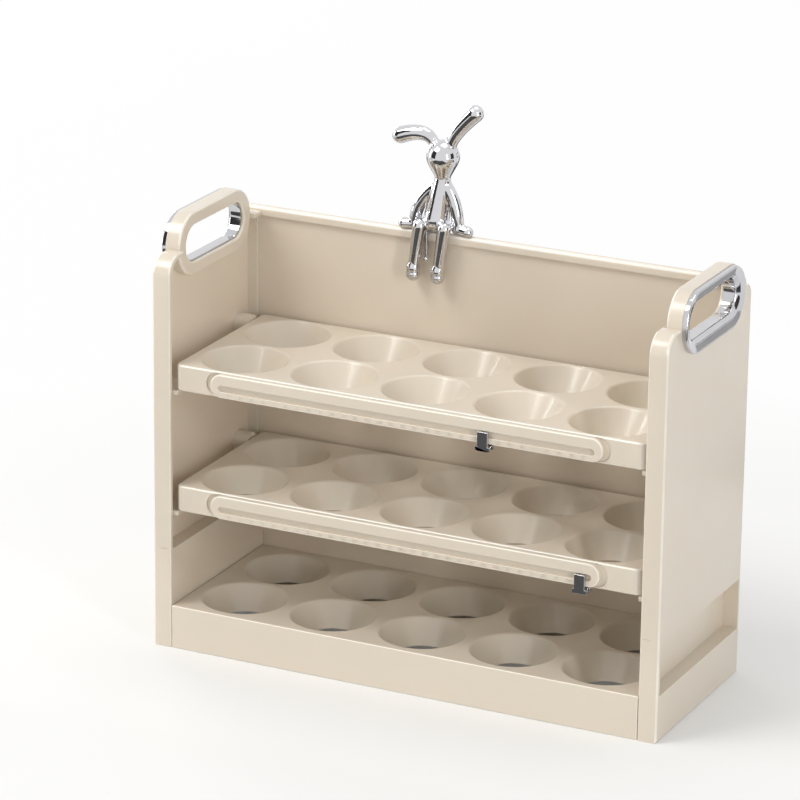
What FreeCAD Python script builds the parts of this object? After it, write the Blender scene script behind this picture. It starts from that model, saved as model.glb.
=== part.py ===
"""A free-standing egg holder with three layers of egg cups.

Two moulded side panels stand on the floor and hold a base tray, a back panel and two shelves.
The shelves flip up about trunnions near their rear edge, and a date marker slides along each shelf front.
Plated rings line the carrying slots, and a plated rabbit figure sits on the back rim.

Frame: millimetres, X to the right, Y to the rear, Z up, origin in the middle of the footprint.
"""
import FreeCAD, Part
import math
import os
import re

SIZES = {
    # Overall
    "width": 260,             # outside width over both side panels
    "depth": 98,              # front to rear of a side panel
    "rim_height": 195.3,      # top of the back panel
    "rim_rise": 2.1,          # back panel above the shoulders of the side panels
    # Side panels
    "side_reach": 9.5,        # how far the front flange reaches inwards
    "skin": 2.0,              # moulded wall
    "flange": 2.2,            # front, top and rear flanges
    "front_round": 10,        # rounded top front corner
    "rear_round": 6,          # rounded top rear corner
    "edge_round": 1.1,        # softened visible edges
    # Carrying loop and plated ring
    "grip_length": 70.5,
    "grip_height": 30.6,
    "grip_thick": 7.5,
    "band_end": 7.25,         # from the ends of the loop to the clear opening for the fingers
    "band_side": 7.0,         # above and below the opening
    "sleeve_wall": 1.5,
    "sleeve_gap": 0.1,        # fit of the sleeve in the panel
    "grip_lip": 1.6,          # panel left at the inner end of the sleeve
    "ring_proud": 2.6,        # ring flange, measured from the panel
    "ring_inset": 0.5,        # loop left bare around the ring
    "ring_round": 1.1,
    # Grab pocket, low on the outside of each side panel
    "pocket_floor": 22.7,
    "pocket_height": 24.8,
    # Base tray
    "base_height": 21.5,
    "seam": 0.2,              # gap between fitted mouldings
    "tongue_length": 60,
    "tongue_height": 6,
    "tongue_reach": 5.5,
    # Shelves
    "plate": 2.0,             # top plates and the base ledge
    "skirt": 2.4,             # walls below the top plates
    "shelf_pitch": 60,        # height from layer to layer
    "shelf_height": 12.8,
    "shelf_gap": 1.0,         # shelf end to side panel flange
    "shelf_setback": 2.8,     # shelf front behind the front of the side panels
    "shelf_round": 4,         # vertical front corners
    "shelf_rear_round": 3,
    "shelf_rear_gap": 2.3,    # shelf rear to back panel
    # Egg cups
    "cup_margin": 2.0,        # from the outermost cups' share of the shelf to its ends
    "row_margin": 0.7,        # from each row's share of the shelf to its front or rear
    "cup_web": 2.4,           # least flat between neighbouring cups
    "cup_taper": 7.5,         # top radius less the radius of the open bottom
    "cup_depth": 12.2,
    "cup_wall": 1.6,
    # Shelf trunnions and stops
    "pin_radius": 2.5,
    "pin_length": 7,
    "pin_clearance": 0.08,
    "pivot_drop": 3,          # below the shelf top
    "pivot_inset": 10,        # in front of the shelf rear
    "boss_wall": 2.5,
    "boss_gap": 0.5,          # shelf end to boss
    "ledge_length": 18,
    "ledge_reach": 1.5,       # under the shelf end
    "rest_gap": 0.2,          # ledge to shelf underside
    # Back panel
    "sheet": 2.4,
    "channel_gap": 0.1,
    "lip": 1.6,
    "lip_reach": 5,
    "bead_depth": 4.5,
    "bead_height": 4.5,
    # Date rails
    "rail_margin": 20.0,      # shelf front beyond each rail end
    "rail_height": 11.4,
    "rail_thick": 3.2,
    "rail_recess": 0.8,       # seat cut into the shelf front
    "recess_margin": 3.2,     # bare crescent beyond each rail end
    "track_margin": 4,        # rail beyond each end of the track
    "track_height": 3.1,
    "track_drop": 1.1,        # track below the middle of the rail
    "track_face": 1.7,        # rail face in front of the captive foot
    "foot_height": 5.6,       # channel for the captive foot
    "peg_radius": 1.0,
    "peg_length": 1.4,
    "peg_gap": 0.05,          # fit of the pegs in the shelf
    # Date sliders
    "slider_width": 5.2,
    "slider_thick": 1.5,
    "slider_gap": 0.15,
    "slider_foot": 4.2,       # width of the captive foot
    "bar_width": 7.4,         # cross bars at both ends of the hook
    "bar_depth": 1.5,
    "hook_thick": 2.0,
    "hook_drop": 0.4,         # gap under the shelf
    "hook_reach": 1.4,        # behind the shelf front
    "upper_left": 58.5,       # from each slider to the right end of its rail
    "lower_left": 9,
    # Rabbit figure
    "figure_place": -28.5,    # along the back rim
    "figure_clearance": 0.3,
    "figure_lean": 3,         # head and knees beside the middle of the seat
    "figure_flat": 0.6,       # flattened depth of the hands and thighs on the rim
    "head_radius": 8.4,
    "head_height": 37,        # above the rim
    "chin_radius": 4.4,
    "chin_drop": 7,           # below the middle of the head
    "ear_radius": 3.8,
    "ear_root_radius": 2.6,
    "ear_bend_radius": 3.5,
    "ear_root": 4.2,          # ear root from the middle of the head
    "drop_ear_out": 10,       # bend of the folded ear from the middle of the head
    "drop_ear_rise": 10.5,
    "drop_ear_reach": 12.4,   # bend to tip
    "drop_ear_sag": 1.5,
    "tall_ear_out": 16.3,     # tip of the upright ear from the middle of the head
    "tall_ear_rise": 23,
    "body_radius": 6,
    "neck_radius": 3.6,
    "neck_height": 26,
    "arm_radius": 2.4,
    "elbow_radius": 2.5,
    "hand_radius": 2.9,
    "elbow_spread": 11.4,
    "elbow_height": 12.5,
    "arm_spread": 15.5,       # hand from the middle
    "thigh_radius": 3.4,
    "thigh_spread": 3.5,
    "leg_radius": 2.6,
    "leg_spread": 7,          # leg from the middle
    "leg_length": 25,         # knee to ankle
    "leg_offset": 5.2,        # legs in front of the rim middle
    "leg_slant": 3,           # sideways, knee to ankle
    "knee_radius": 2.9,
    "ankle_radius": 2.4,
    "instep_radius": 2.8,
    "knee_rise": 5,
    "foot_radius": 3.2,
    "foot_drop": 1.5,         # below the ankle
    "clip_thick": 1.4,
    "clip_width": 8,
    "clip_drop": 11,
    "tail_radius": 0.6,       # thin rod in front of the rim
    "ball_radius": 1.2,
}

ROW_SIDES = (-1, 1)
CUPS_PER_ROW = 5
TIERS = {"lower": 1, "upper": 2}
REACH = 1.0  # how far a cutting shape passes the surface it cuts

# Places and lengths worked out from the sizes
PLACES = {
    "shoulder": "rim_height - rim_rise",
    "outer": "width / 2",
    "inner": "width / 2 - side_reach",
    "hollow": "width / 2 - skin",
    "grip_inner": "width / 2 - grip_thick",
    "front": "-depth / 2",
    "rear": "depth / 2",
    "back_rear": "rear - flange - channel_gap",
    "back_front": "back_rear - sheet",
    "bead_front": "back_rear - bead_depth",
    "bead_middle": "back_rear - bead_depth / 2",
    "pocket_roof": "pocket_floor + pocket_height",
    "bay_floor": "pocket_roof + skin",
    "shelf_end": "inner - shelf_gap",
    "shelf_front": "front + shelf_setback",
    "shelf_rear": "back_front - shelf_rear_gap",
    "row_middle": "(shelf_front + shelf_rear) / 2",
    "row_pitch": "(shelf_rear - shelf_front) / 2 - row_margin",
    "cup_pitch": f"2 * (shelf_end - cup_margin) / {CUPS_PER_ROW}",
    "cup_radius": "(min(cup_pitch; row_pitch) - cup_web) / 2",
    "cup_hole": "cup_radius - cup_taper",
    "pivot_y": "shelf_rear - pivot_inset",
    "slot_length": "grip_length - 2 * band_end",
    "slot_height": "grip_height - 2 * band_side",
    "sleeve_length": "slot_length + 2 * sleeve_wall",
    "sleeve_height": "slot_height + 2 * sleeve_wall",
    "rail_length": "2 * (shelf_end - rail_margin)",
    "track_length": "rail_length - 2 * track_margin",
    "upper_mark": "rail_length / 2 - upper_left",
    "lower_mark": "rail_length / 2 - lower_left",
    "rail_back": "shelf_front + rail_recess",
    "rail_front": "rail_back - rail_thick",
    "foot_front": "rail_front + track_face",
    "bead_low": "rim_height - bead_height",
    "bead_axis": "rim_height - bead_depth / 2",
}

doc = FreeCAD.newDocument("egg_holder")
sheet = doc.addObject("Spreadsheet::Sheet", "dims")
for row, (alias, value) in enumerate(SIZES.items(), start=1):
    sheet.set(f"A{row}", alias)
    sheet.set(f"B{row}", str(value))
    sheet.setAlias(f"B{row}", alias)
doc.recompute()


def formula(text):
    """Turn a rule written with size and place names into an expression on the sheet."""
    def name(match):
        word = match.group(0)
        if word in PLACES:
            return f"({formula(PLACES[word])})"
        return f"dims.{word}" if word in SIZES else word
    return re.sub(r"[a-z][a-z_]*", name, str(text))


def size(alias):
    """Read one size from the sheet."""
    return float(sheet.get(alias))


def place(item, x, y, z):
    """Bind the position of an item."""
    for axis, rule in zip("xyz", (x, y, z)):
        item.setExpression(f"Placement.Base.{axis}", formula(rule))


def turn(item, axis, angle):
    """Give an item a fixed orientation."""
    item.Placement = FreeCAD.Placement(FreeCAD.Vector(), FreeCAD.Rotation(axis, angle))


def block(name, x, y, z):
    """A box between low and high rules on each axis."""
    item = doc.addObject("Part::Box", name)
    place(item, x[0], y[0], z[0])
    for side, (low, high) in zip(("Length", "Width", "Height"), (x, y, z)):
        item.setExpression(side, formula(f"({high}) - ({low})"))
    return item


def rod(name, along, start, length, radius):
    """A cylinder from a start point along X, Y or Z."""
    item = doc.addObject("Part::Cylinder", name)
    if along == "x":
        turn(item, FreeCAD.Vector(0, 1, 0), 90)
    if along == "y":
        turn(item, FreeCAD.Vector(1, 0, 0), -90)
    place(item, *start)
    item.setExpression("Height", formula(length))
    item.setExpression("Radius", formula(radius))
    return item


def frustum(name, start, height, low_radius, high_radius):
    """An upright cone frustum."""
    item = doc.addObject("Part::Cone", name)
    place(item, *start)
    item.setExpression("Height", formula(height))
    item.setExpression("Radius1", formula(low_radius))
    item.setExpression("Radius2", formula(high_radius))
    return item


def fuse(name, *parts):
    """Join shapes into one."""
    item = doc.addObject("Part::MultiFuse", name)
    item.Shapes = list(parts)
    item.Refine = True
    return item


def cut(name, base, *tools):
    """Take shapes away from a base."""
    item = doc.addObject("Part::Cut", name)
    item.Base = base
    item.Tool = tools[0] if len(tools) == 1 else fuse(name + "_tools", *tools)
    item.Refine = True
    return item


def soften(name, base, radius, wanted):
    """Round the edges of a shape that a test picks out."""
    doc.recompute()
    item = doc.addObject("Part::Fillet", name)
    item.Base = base
    item.Edges = [(number, radius, radius)
                  for number, edge in enumerate(base.Shape.Edges, start=1) if wanted(edge.BoundBox)]
    return item


def near(value, target):
    """Whether two lengths are the same for all practical purposes."""
    return abs(value - target) < 1e-3


def side_slot(name, x, length, height):
    """An obround prism through a side panel, centred on its shoulder line."""
    half = f"(({length}) - ({height})) / 2"
    core = block(name + "_core", x, (f"-{half}", half),
                 (f"shoulder - ({height}) / 2", f"shoulder + ({height}) / 2"))
    ends = [rod(name + "_end", "x", (x[0], end, "shoulder"), f"({x[1]}) - ({x[0]})", f"({height}) / 2")
            for end in (f"-{half}", half)]
    return fuse(name, core, *ends)


def front_slot(name, y, middle, length, height):
    """An obround prism along X in a shelf front, at a middle height."""
    half = f"(({length}) - ({height})) / 2"
    core = block(name + "_core", (f"-{half}", half), y,
                 (f"({middle}) - ({height}) / 2", f"({middle}) + ({height}) / 2"))
    ends = [rod(name + "_end", "y", (end, y[0], middle), f"({y[1]}) - ({y[0]})", f"({height}) / 2")
            for end in (f"-{half}", half)]
    return fuse(name, core, *ends)


def side_outline(name, x, inset, low):
    """The side panel's outline without its loop, inset all round, from a low height upwards."""
    front, rear = f"front + {inset}", f"rear - {inset}"
    front_axis, rear_axis = "front + front_round", "rear - rear_round"
    front_top, rear_top = "shoulder - front_round", "shoulder - rear_round"
    length = f"({x[1]}) - ({x[0]})"
    return fuse(
        name,
        block(name + "_front", x, (front, "0"), (low, front_top)),
        block(name + "_rear", x, (front_axis, rear), (low, rear_top)),
        block(name + "_middle", x, (front_axis, rear_axis), (low, f"shoulder - {inset}")),
        rod(name + "_front_corner", "x", (x[0], front_axis, front_top), length, f"front_round - {inset}"),
        rod(name + "_rear_corner", "x", (x[0], rear_axis, rear_top), length, f"rear_round - {inset}"),
    )


def tray_block(name, end, y, z, front_radius, rear_radius):
    """A tray-shaped block with rounded vertical corners."""
    low, high = y
    height = f"({z[1]}) - ({z[0]})"
    front_axis, rear_axis = f"({low}) + {front_radius}", f"({high}) - {rear_radius}"
    parts = [
        block(name + "_body", (f"-({end})", end), (front_axis, rear_axis), z),
        block(name + "_front", (f"{front_radius} - ({end})", f"({end}) - {front_radius}"),
              (low, rear_axis), z),
        block(name + "_rear", (f"{rear_radius} - ({end})", f"({end}) - {rear_radius}"),
              (front_axis, high), z),
    ]
    for side in ("-1", "1"):
        for axis, radius in ((front_axis, front_radius), (rear_axis, rear_radius)):
            corner = (f"{side} * (({end}) - {radius})", axis, z[0])
            parts.append(rod(name + "_corner", "z", corner, height, radius))
    return fuse(name, *parts)


def cup_places():
    """The middles of the ten egg cups, as rules for X and Y."""
    for side in ROW_SIDES:
        for column in range(CUPS_PER_ROW):
            step = column - (CUPS_PER_ROW - 1) / 2
            yield f"{step} * cup_pitch", f"row_middle + {side} * row_pitch / 2"


def cup_shells(name, top):
    """Solid cones that the egg cups are cut from."""
    return [frustum(name + "_cup", (x, y, f"{top} - cup_depth"), "cup_depth", "cup_hole + cup_wall",
                    "cup_radius + cup_wall") for x, y in cup_places()]


def cup_hollows(name, top):
    """The conical seats with their open bottoms, run past both faces along the same slope."""
    slope = "((cup_radius - cup_hole) / cup_depth)"
    narrow, wide = f"cup_hole - {REACH} * {slope}", f"cup_radius + {REACH} * {slope}"
    return [frustum(name + "_seat", (x, y, f"{top} - cup_depth - {REACH}"), f"cup_depth + 2 * {REACH}",
                    narrow, wide) for x, y in cup_places()]


def side_panel():
    """The right side panel: a thin wall with flanges, loop, grab pocket, ledges and pivot bosses."""
    through = (f"inner - {REACH}", f"outer + {REACH}")
    indoors = (f"inner - {REACH}", "hollow")
    within = ("front + flange", "rear - flange")
    outline = side_outline("panel_outline", ("inner", "outer"), "0", "0")
    loop_way = side_slot("panel_loop_way", through, "grip_length", "grip_height")
    bay = side_outline("panel_bay", indoors, "flange", "bay_floor")
    foot = block("panel_foot", indoors, within, ("flange", "pocket_floor - skin"))
    pocket = block("panel_pocket", ("inner + skin", f"outer + {REACH}"), within,
                   ("pocket_floor", "pocket_roof"))
    bead_way = block("panel_bead_way", indoors, ("bead_front - channel_gap", "rear - flange"),
                     ("shoulder - rear_round", f"shoulder + {REACH}"))
    hollowed = cut("panel_hollowed", outline, loop_way, bay, foot, pocket, bead_way)
    rounded = soften("panel_rounded", hollowed, size("edge_round"), panel_edge)
    fittings = [carrying_loop(), block("panel_lip", ("hollow - lip_reach", "hollow + skin / 2"),
                                       ("back_front - channel_gap - lip", "back_front - channel_gap"),
                                       ("bay_floor - skin / 2", "bead_low - seam"))]
    bores = []
    for tier, number in TIERS.items():
        top = f"(base_height + {number} * shelf_pitch)"
        rest = f"({top} - shelf_height - rest_gap)"
        pivot = ("pivot_y", f"{top} - pivot_drop")
        fittings.append(block(f"panel_{tier}_ledge", ("shelf_end - ledge_reach", "hollow + skin / 2"),
                              ("shelf_front", "shelf_front + ledge_length"), (f"{rest} - skin", rest)))
        fittings.append(rod(f"panel_{tier}_boss", "x", ("shelf_end + boss_gap", *pivot),
                            "hollow + skin / 2 - shelf_end - boss_gap",
                            "pin_radius + pin_clearance + boss_wall"))
        bores.append(rod(f"panel_{tier}_bore", "x", ("shelf_end", *pivot), "pin_length + seam",
                         "pin_radius + pin_clearance"))
    return cut("right_side_panel", fuse("panel_fitted", rounded, *fittings), *bores)


def panel_edge(box):
    """Whether an edge runs along the front of the side panel, on its outer or inner face."""
    outer = size("width") / 2
    inner = outer - size("side_reach")
    on_face = near(box.XMin, box.XMax) and (near(box.XMin, outer) or near(box.XMin, inner))
    return on_face and near(box.YMin, -size("depth") / 2)


def carrying_loop():
    """The loop on top of the right side panel, bored for the plated sleeve."""
    blank = side_slot("loop_blank", ("grip_inner", "outer"), "grip_length", "grip_height")
    doc.recompute()
    face = blank.Shape.BoundBox.XMin
    rounded = soften("loop_rounded", blank, size("edge_round"), lambda box: near(box.XMax, face))
    mouth = side_slot("loop_mouth", (f"grip_inner - {REACH}", f"outer + {REACH}"),
                      "slot_length + sleeve_wall", "slot_height + sleeve_wall")
    bore = side_slot("loop_sleeve_bore", ("grip_inner + grip_lip", f"outer + {REACH}"),
                     "sleeve_length + 2 * sleeve_gap", "sleeve_height + 2 * sleeve_gap")
    return cut("carrying_loop", rounded, mouth, bore)


def base_tray():
    """The fixed bottom layer, with tongues for the feet of the side panels and a ledge for the back panel."""
    end = "inner - seam"
    outer = block("base_outer", (f"-({end})", end), ("front", "back_front - seam"), ("0", "base_height"))
    hollow = block("base_hollow", (f"skirt - ({end})", f"{end} - skirt"),
                   ("front + skirt", "back_front - seam - skirt"), (f"-{REACH}", "base_height - plate"))
    skin = cut("base_skin", outer, hollow)
    ledge = block("base_ledge", (f"-({end})", end), ("back_front - seam - skirt", "rear - flange"),
                  ("0", "plate"))
    half = "tongue_length / 2"
    tongues = [block("base_tongue", ordered(side, "inner - seam - skirt", "inner + tongue_reach"),
                     (f"-{half}", half), ("flange", "flange + tongue_height")) for side in (-1, 1)]
    body = fuse("base_body", skin, ledge, *tongues, *cup_shells("base", "base_height"))
    return cut("base_tray", body, *cup_hollows("base", "base_height"))


def ordered(side, near_rule, far_rule):
    """Low and high X rules for a shape between two distances from the middle, on one side."""
    return (near_rule, far_rule) if side > 0 else (f"-({far_rule})", f"-({near_rule})")


def back_panel():
    """The rear sheet with its rounded top rim."""
    wide, narrow = "hollow - seam", "inner - seam"
    y = ("back_front", "back_rear")
    return fuse(
        "back_panel",
        block("back_lower", (f"-({narrow})", narrow), y, ("plate", "bay_floor + seam")),
        block("back_upper", (f"-({wide})", wide), y, ("bay_floor + seam", "bead_axis")),
        block("back_bead", (f"-({wide})", wide), ("bead_front", "back_rear"), ("bead_low", "bead_axis")),
        rod("back_bead_top", "x", (f"-({wide})", "bead_middle", "bead_axis"), f"2 * ({wide})",
            "bead_depth / 2"),
    )


def shelf(tier, number):
    """One flip-up shelf with its cups, trunnions and the seat of its date rail."""
    name = f"{tier}_shelf"
    top = f"(base_height + {number} * shelf_pitch)"
    low = f"({top} - shelf_height)"
    middle = f"({top} - shelf_height / 2)"
    outer = tray_block(f"{name}_outer", "shelf_end", ("shelf_front", "shelf_rear"), (low, top),
                       "shelf_round", "shelf_rear_round")
    rounded = soften(f"{name}_rounded", outer, size("edge_round"), lambda box: near(box.ZMin, box.ZMax))
    hollow = tray_block(f"{name}_hollow", "(shelf_end - skirt)",
                        ("shelf_front + skirt", "shelf_rear - skirt"), (f"{low} - {REACH}", f"{top} - plate"),
                        "(shelf_round - skirt)", "(shelf_rear_round / 2)")
    skin = cut(f"{name}_skin", rounded, hollow)
    pins = [rod(f"{name}_pin", "x", (start, "pivot_y", f"{top} - pivot_drop"), "pin_length + skirt / 2",
                "pin_radius") for start in ("shelf_end - skirt / 2", "-shelf_end - pin_length")]
    body = fuse(f"{name}_body", skin, *pins, *cup_shells(name, top))
    seat = front_slot(f"{name}_rail_seat", (f"shelf_front - {REACH}", "rail_back"), middle,
                      "rail_length + 2 * recess_margin", "rail_height + seam")
    pegs = [rod(f"{name}_peg_hole", "y", (x, "rail_back - seam", middle), "peg_length + 2 * seam",
                "peg_radius + peg_gap") for x in peg_places()]
    return cut(name, body, seat, *pegs, *cup_hollows(name, top))


def peg_places():
    """Where the rail's pegs stand, beyond both ends of the slider track."""
    middle = "((track_length + rail_length) / 4)"
    return f"-{middle}", middle


def date_rail(tier, number):
    """One slotted rail, with the wider channel for the slider's captive foot behind its face."""
    name = f"{tier}_date_rail"
    middle = f"(base_height + {number} * shelf_pitch - shelf_height / 2)"
    bar = front_slot(f"{name}_bar", ("rail_front", "rail_back"), middle, "rail_length", "rail_height")
    doc.recompute()
    face = bar.Shape.BoundBox.YMin
    eased = soften(f"{name}_eased", bar, size("edge_round"), lambda box: near(box.YMax, face))
    pegs = [rod(f"{name}_peg", "y", (x, "rail_back - seam", middle), "peg_length + seam", "peg_radius")
            for x in peg_places()]
    slot = f"({middle} - track_drop)"
    half = "(track_length / 2 - track_height / 2)"
    track = front_slot(f"{name}_track", (f"rail_front - {REACH}", "foot_front"), slot,
                       "track_length", "track_height")
    channel = block(f"{name}_channel", (f"-{half}", half), ("foot_front", f"rail_back + {REACH}"),
                    (f"{slot} - foot_height / 2", f"{slot} + foot_height / 2"))
    return cut(name, fuse(f"{name}_pegged", eased, *pegs), track, channel)


def date_slider(tier, number):
    """One date marker: face, neck through the track, captive foot, and a hook under the shelf edge."""
    name = f"{tier}_date_slider"
    low = f"(base_height + {number} * shelf_pitch - shelf_height)"
    slot = f"({low} + shelf_height / 2 - track_drop)"
    face_back = "(rail_front - slider_gap)"
    face_front = f"({face_back} - slider_thick)"
    foot_back = "(rail_back - slider_gap)"
    hook_back = "(shelf_front + hook_reach)"
    hook = (f"{low} - hook_drop - hook_thick", f"{low} - hook_drop")
    neck = "(track_height / 2 - slider_gap)"
    half_foot = "(foot_height / 2 - slider_gap)"

    def across(width):
        return f"{tier}_mark - {width} / 2", f"{tier}_mark + {width} / 2"

    return fuse(
        name,
        block(f"{name}_face", across("slider_width"), (face_front, face_back), (hook[0], f"{slot} + {neck}")),
        block(f"{name}_neck", across("slider_foot"), (face_back, foot_back),
              (f"{slot} - {neck}", f"{slot} + {neck}")),
        block(f"{name}_foot", across("slider_foot"), ("foot_front + slider_gap", foot_back),
              (f"{slot} - {half_foot}", f"{slot} + {half_foot}")),
        block(f"{name}_hook", across("slider_width"), (face_front, hook_back), hook),
        block(f"{name}_front_bar", across("bar_width"), (face_front, f"{face_front} + bar_depth"), hook),
        block(f"{name}_rear_bar", across("bar_width"), (f"{hook_back} - bar_depth", hook_back), hook),
    )


def handle_ring():
    """The right plated ring: a flange on the outside of the loop and a sleeve through it."""
    flange = side_slot("ring_flange", ("outer", "outer + ring_proud"), "grip_length - 2 * ring_inset",
                       "grip_height - 2 * ring_inset")
    doc.recompute()
    face = flange.Shape.BoundBox.XMax
    eased = soften("ring_eased", flange, size("ring_round"), lambda box: near(box.XMin, face))
    sleeve = side_slot("ring_sleeve", ("grip_inner + grip_lip + sleeve_gap", "outer + ring_proud / 2"),
                       "sleeve_length", "sleeve_height")
    opening = side_slot("ring_opening", (f"inner - {REACH}", f"outer + ring_proud + {REACH}"), "slot_length",
                        "slot_height")
    pierced = cut("ring_pierced", fuse("ring_body", eased, sleeve), opening)
    doc.recompute()
    mouth = opening.Shape.BoundBox
    mouth.enlarge(REACH)

    return soften("right_handle_ring", pierced, size("ring_round"),
                  lambda box: near(box.XMin, face) and mouth.isInside(box))


def mirrored(name, source):
    """The left-hand twin of a right-hand piece."""
    item = doc.addObject("Part::Mirroring", name)
    item.Source = source
    item.Normal = FreeCAD.Vector(1, 0, 0)
    return item


def limb(start, end, start_radius, end_radius):
    """A tapered limb with round ends, turned about the line between two points."""
    along = end - start
    length = along.Length
    lean = (start_radius - end_radius) / length
    rise = math.sqrt(1 - lean * lean)

    def rim(middle, radius, tilt):
        return FreeCAD.Vector(radius * math.sqrt(1 - tilt * tilt), 0, middle + radius * tilt)

    low = FreeCAD.Vector(0, 0, -start_radius)
    high = FreeCAD.Vector(0, 0, length + end_radius)
    low_rim, high_rim = rim(0, start_radius, lean), rim(length, end_radius, lean)
    low_mid = rim(0, start_radius, (lean - rise) / math.sqrt(2))
    high_mid = rim(length, end_radius, (lean + rise) / math.sqrt(2))
    outline = [Part.Arc(low, low_mid, low_rim), Part.LineSegment(low_rim, high_rim),
               Part.Arc(high_rim, high_mid, high), Part.LineSegment(high, low)]
    half = Part.Face(Part.Wire([line.toShape() for line in outline]))
    solid = half.revolve(FreeCAD.Vector(), FreeCAD.Vector(0, 0, 1), 360)
    solid.Placement = FreeCAD.Placement(start, FreeCAD.Rotation(FreeCAD.Vector(0, 0, 1), along))
    return solid


def rabbit_ornament():
    """A seated rabbit: its own frame has the middle of the rim top as origin."""
    def at(x, y, z):
        return FreeCAD.Vector(x, y, z)

    lean, clear = size("figure_lean"), size("figure_clearance")
    rest = clear - size("figure_flat")
    head = at(lean, 0, size("head_height"))
    chin = head - at(0, 0, size("chin_drop"))
    neck = at(lean, 0, size("neck_height"))
    seat = at(0, 0, size("body_radius"))
    root, ear, thin = size("ear_root"), size("ear_radius"), size("ear_root_radius")
    bend = head + at(-size("drop_ear_out"), 0, size("drop_ear_rise"))
    solids = [
        limb(seat, neck, size("body_radius"), size("neck_radius")),
        limb(chin, head, size("chin_radius"), size("head_radius")),
        limb(head + at(-root, 0, root), bend, thin, size("ear_bend_radius")),
        limb(bend, bend - at(size("drop_ear_reach"), 0, size("drop_ear_sag")), thin, ear),
        limb(head + at(root, 0, root), head + at(size("tall_ear_out"), 0, size("tall_ear_rise")), thin, ear),
    ]
    for side in (-1, 1):
        hip = at(side * size("thigh_spread"), 0, size("thigh_radius") + rest)
        knee = at(lean + side * size("leg_spread"), -size("leg_offset"), size("knee_rise"))
        ankle = knee - at(size("leg_slant"), 0, size("leg_length"))
        shoulder = neck + at(side * size("neck_radius") / 2, 0, -size("arm_radius"))
        elbow = at(side * size("elbow_spread"), 0, size("elbow_height"))
        hand = at(side * size("arm_spread"), 0, size("hand_radius") + rest)
        toe = ankle - at(0, 0, size("foot_drop"))
        solids += [
            limb(hip, knee, size("thigh_radius"), size("knee_radius")),
            limb(knee, ankle, size("leg_radius"), size("ankle_radius")),
            limb(ankle, toe, size("instep_radius"), size("foot_radius")),
            limb(shoulder, elbow, size("arm_radius"), size("elbow_radius")),
            limb(elbow, hand, size("arm_radius"), size("hand_radius")),
        ]
    seat_half = size("bead_depth") / 2 + clear
    width, thick, drop = size("clip_width"), size("clip_thick"), size("clip_drop")
    solids.append(Part.makeBox(width, thick, drop + seat.z, at(-width / 2, seat_half, -drop)))
    tail = at(0, -seat_half - size("tail_radius"), size("ball_radius") - drop)
    solids.append(Part.makeCylinder(size("tail_radius"), seat.z - tail.z, tail))
    solids.append(Part.makeSphere(size("ball_radius"), tail))
    reach = size("arm_spread") + size("hand_radius") + REACH
    rim_way = Part.makeBox(2 * reach, 2 * seat_half, 2 * drop, at(-reach, -seat_half, clear - 2 * drop))
    item = doc.addObject("Part::Feature", "rabbit_ornament")
    item.Shape = solids[0].multiFuse(solids[1:]).cut(rim_way).removeSplitter()
    place(item, "figure_place", "bead_middle", "rim_height")
    return item


def build():
    """Make every piece and return them by node name."""
    right_panel, right_ring = side_panel(), handle_ring()
    pieces = [base_tray(), back_panel(), right_panel, mirrored("left_side_panel", right_panel),
              right_ring, mirrored("left_handle_ring", right_ring), rabbit_ornament()]
    for tier, number in TIERS.items():
        pieces += [shelf(tier, number), date_rail(tier, number), date_slider(tier, number)]
    doc.recompute()
    return {piece.Label: piece for piece in pieces}


def export(pieces):
    """Check every object of the document, then write one file per piece."""
    for item in doc.Objects:
        if "Invalid" in item.State or "Error" in item.State:
            raise RuntimeError(f"{item.Label} did not build: {item.State}")
    for name, piece in pieces.items():
        if piece.Shape.isNull() or not piece.Shape.isValid() or len(piece.Shape.Solids) != 1:
            raise RuntimeError(f"{name} is not one valid solid")
    os.makedirs("parts", exist_ok=True)
    for name, piece in pieces.items():
        piece.Shape.exportStep(f"parts/{name}.step")
        print(f"{name}: {piece.Shape.Volume / 1000:.2f} cm3, {piece.Shape.BoundBox}")


export(build())
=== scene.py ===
"""Looks of a free-standing egg holder: three cream layers of egg cups, flip-up shelves and plated trim.

Shapes are worked in millimetres and scaled to metres when a piece is finished.
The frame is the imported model's own: X to the right, Y to the rear, Z up, with its origin in the middle of
the footprint.
"""

import logging
import math
from dataclasses import dataclass, field
from enum import Enum
from typing import Callable, Iterable, Sequence

import bmesh
import bpy
from bmesh.types import BMesh, BMEdge, BMVert
from bpy.types import Material, Mesh, Node, NodeSocket, NodeTree, Object
from mathutils import Matrix, Vector


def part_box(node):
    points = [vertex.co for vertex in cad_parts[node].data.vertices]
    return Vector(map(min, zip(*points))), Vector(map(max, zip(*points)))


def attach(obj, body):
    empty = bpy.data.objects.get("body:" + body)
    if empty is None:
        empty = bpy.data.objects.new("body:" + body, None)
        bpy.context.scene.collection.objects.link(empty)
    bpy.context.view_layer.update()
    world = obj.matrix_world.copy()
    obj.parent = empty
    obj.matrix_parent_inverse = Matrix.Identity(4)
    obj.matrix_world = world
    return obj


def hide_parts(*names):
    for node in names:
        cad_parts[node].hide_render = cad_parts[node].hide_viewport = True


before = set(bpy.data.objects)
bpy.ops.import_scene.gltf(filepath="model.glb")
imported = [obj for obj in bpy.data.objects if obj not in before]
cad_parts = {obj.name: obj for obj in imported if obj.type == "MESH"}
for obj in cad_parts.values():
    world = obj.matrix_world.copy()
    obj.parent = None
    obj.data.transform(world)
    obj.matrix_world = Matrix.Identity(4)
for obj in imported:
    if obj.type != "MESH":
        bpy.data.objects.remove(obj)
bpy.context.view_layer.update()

LOG = logging.getLogger("egg_holder")
MM = 0.001  # a millimetre in metres
REACH = 1.0  # how far a cutting shape passes the surface it cuts
TOUCH = 1e-4  # places closer than this are one place
LEVEL = 0.95  # a face whose normal has a greater part than this doesn't slant
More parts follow.
